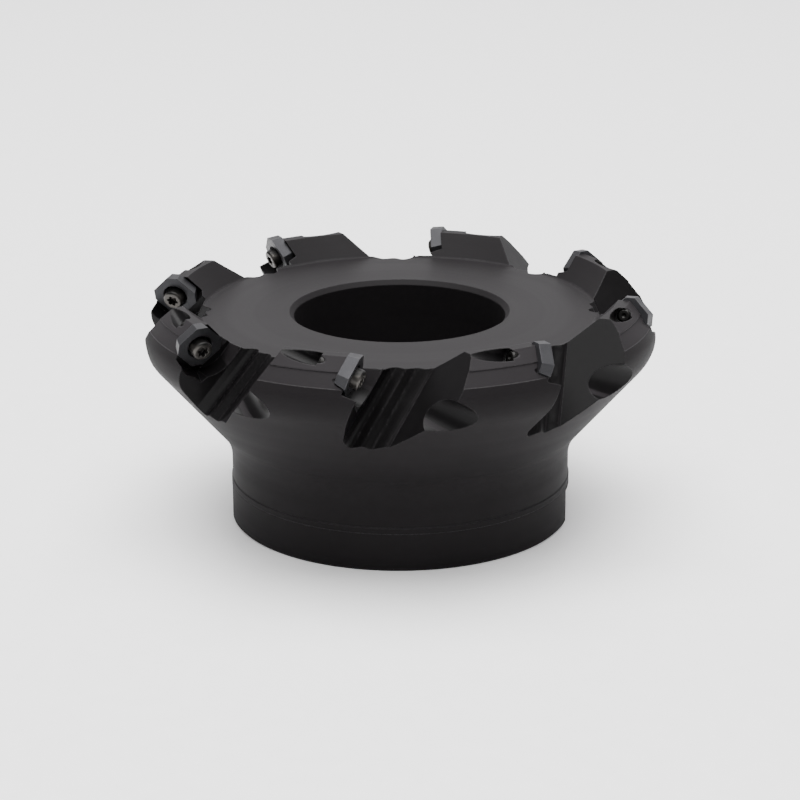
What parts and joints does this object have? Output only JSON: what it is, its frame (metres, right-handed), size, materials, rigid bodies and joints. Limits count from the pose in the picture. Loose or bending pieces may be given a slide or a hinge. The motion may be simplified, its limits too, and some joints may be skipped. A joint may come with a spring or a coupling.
{
  "type": "face milling cutter",
  "caption": "Shell face mill: hub with through bore and drive slots, flared cone and a ring of teeth, each carrying a screw-clamped chamfered-square carbide insert set at 45 degrees.",
  "frame": {"origin": "on the bore axis, in the plane of the back face that seats on the arbor", "axes": "+Z along the bore axis from the back face to the cutting face; the drive slots open towards +X and -X"},
  "size_m": [0.1338, 0.1338, 0.0624],
  "materials": {
    "body_steel": "black oxide on turned and milled tool steel",
    "carbide": "satin grey coated carbide",
    "screw_steel": "dark warm grey hardened screw steel"
  },
  "bodies": {
    "cutter": {"cutter_body": "body_steel"},
    "insert_1_body": {"insert_1": "carbide"},
    "screw_1_body": {"insert_screw_1": "screw_steel"},
    "insert_2_body": {"insert_2": "carbide"},
    "screw_2_body": {"insert_screw_2": "screw_steel"},
    "insert_3_body": {"insert_3": "carbide"},
    "screw_3_body": {"insert_screw_3": "screw_steel"},
    "insert_4_body": {"insert_4": "carbide"},
    "screw_4_body": {"insert_screw_4": "screw_steel"},
    "insert_5_body": {"insert_5": "carbide"},
    "screw_5_body": {"insert_screw_5": "screw_steel"},
    "insert_6_body": {"insert_6": "carbide"},
    "screw_6_body": {"insert_screw_6": "screw_steel"},
    "insert_7_body": {"insert_7": "carbide"},
    "screw_7_body": {"insert_screw_7": "screw_steel"},
    "insert_8_body": {"insert_8": "carbide"},
    "screw_8_body": {"insert_screw_8": "screw_steel"}
  },
  "joints": [
    {"name": "insert_1_lift", "type": "slide", "parent": "cutter", "child": "insert_1_body", "axis": [0.2186, 0.9107, -0.3505], "range_m": [0, 0.008]},
    {"name": "screw_1_turn", "type": "hinge", "parent": "insert_1_body", "child": "screw_1_body", "pos_m": [0.06029, -0.00762, 0.05657], "axis": [0.2186, 0.9107, -0.3505], "range_deg": [0, 4860]},
    {"name": "insert_2_lift", "type": "slide", "parent": "cutter", "child": "insert_2_body", "axis": [-0.4894, 0.7986, -0.3505], "range_m": [0, 0.008]},
    {"name": "screw_2_turn", "type": "hinge", "parent": "insert_2_body", "child": "screw_2_body", "pos_m": [0.04802, 0.03725, 0.05657], "axis": [-0.4894, 0.7986, -0.3505], "range_deg": [0, 4860]},
    {"name": "insert_3_lift", "type": "slide", "parent": "cutter", "child": "insert_3_body", "axis": [-0.9107, 0.2186, -0.3505], "range_m": [0, 0.008]},
    {"name": "screw_3_turn", "type": "hinge", "parent": "insert_3_body", "child": "screw_3_body", "pos_m": [0.00762, 0.06029, 0.05657], "axis": [-0.9107, 0.2186, -0.3505], "range_deg": [0, 4860]},
    {"name": "insert_4_lift", "type": "slide", "parent": "cutter", "child": "insert_4_body", "axis": [-0.7986, -0.4894, -0.3505], "range_m": [0, 0.008]},
    {"name": "screw_4_turn", "type": "hinge", "parent": "insert_4_body", "child": "screw_4_body", "pos_m": [-0.03725, 0.04802, 0.05657], "axis": [-0.7986, -0.4894, -0.3505], "range_deg": [0, 4860]},
    {"name": "insert_5_lift", "type": "slide", "parent": "cutter", "child": "insert_5_body", "axis": [-0.2186, -0.9107, -0.3505], "range_m": [0, 0.008]},
    {"name": "screw_5_turn", "type": "hinge", "parent": "insert_5_body", "child": "screw_5_body", "pos_m": [-0.06029, 0.00762, 0.05657], "axis": [-0.2186, -0.9107, -0.3505], "range_deg": [0, 4860]},
    {"name": "insert_6_lift", "type": "slide", "parent": "cutter", "child": "insert_6_body", "axis": [0.4894, -0.7986, -0.3505], "range_m": [0, 0.008]},
    {"name": "screw_6_turn", "type": "hinge", "parent": "insert_6_body", "child": "screw_6_body", "pos_m": [-0.04802, -0.03725, 0.05657], "axis": [0.4894, -0.7986, -0.3505], "range_deg": [0, 4860]},
    {"name": "insert_7_lift", "type": "slide", "parent": "cutter", "child": "insert_7_body", "axis": [0.9107, -0.2186, -0.3505], "range_m": [0, 0.008]},
    {"name": "screw_7_turn", "type": "hinge", "parent": "insert_7_body", "child": "screw_7_body", "pos_m": [-0.00762, -0.06029, 0.05657], "axis": [0.9107, -0.2186, -0.3505], "range_deg": [0, 4860]},
    {"name": "insert_8_lift", "type": "slide", "parent": "cutter", "child": "insert_8_body", "axis": [0.7986, 0.4894, -0.3505], "range_m": [0, 0.008]},
    {"name": "screw_8_turn", "type": "hinge", "parent": "insert_8_body", "child": "screw_8_body", "pos_m": [0.03725, -0.04802, 0.05657], "axis": [0.7986, 0.4894, -0.3505], "range_deg": [0, 4860]}
  ],
  "couplings": [
    {"joint": "screw_1_turn", "follows": "insert_1_lift", "rad_per_m": 10472},
    {"joint": "screw_2_turn", "follows": "insert_2_lift", "rad_per_m": 10472},
    {"joint": "screw_3_turn", "follows": "insert_3_lift", "rad_per_m": 10472},
    {"joint": "screw_4_turn", "follows": "insert_4_lift", "rad_per_m": 10472},
    {"joint": "screw_5_turn", "follows": "insert_5_lift", "rad_per_m": 10472},
    {"joint": "screw_6_turn", "follows": "insert_6_lift", "rad_per_m": 10472},
    {"joint": "screw_7_turn", "follows": "insert_7_lift", "rad_per_m": 10472},
    {"joint": "screw_8_turn", "follows": "insert_8_lift", "rad_per_m": 10472}
  ]
}
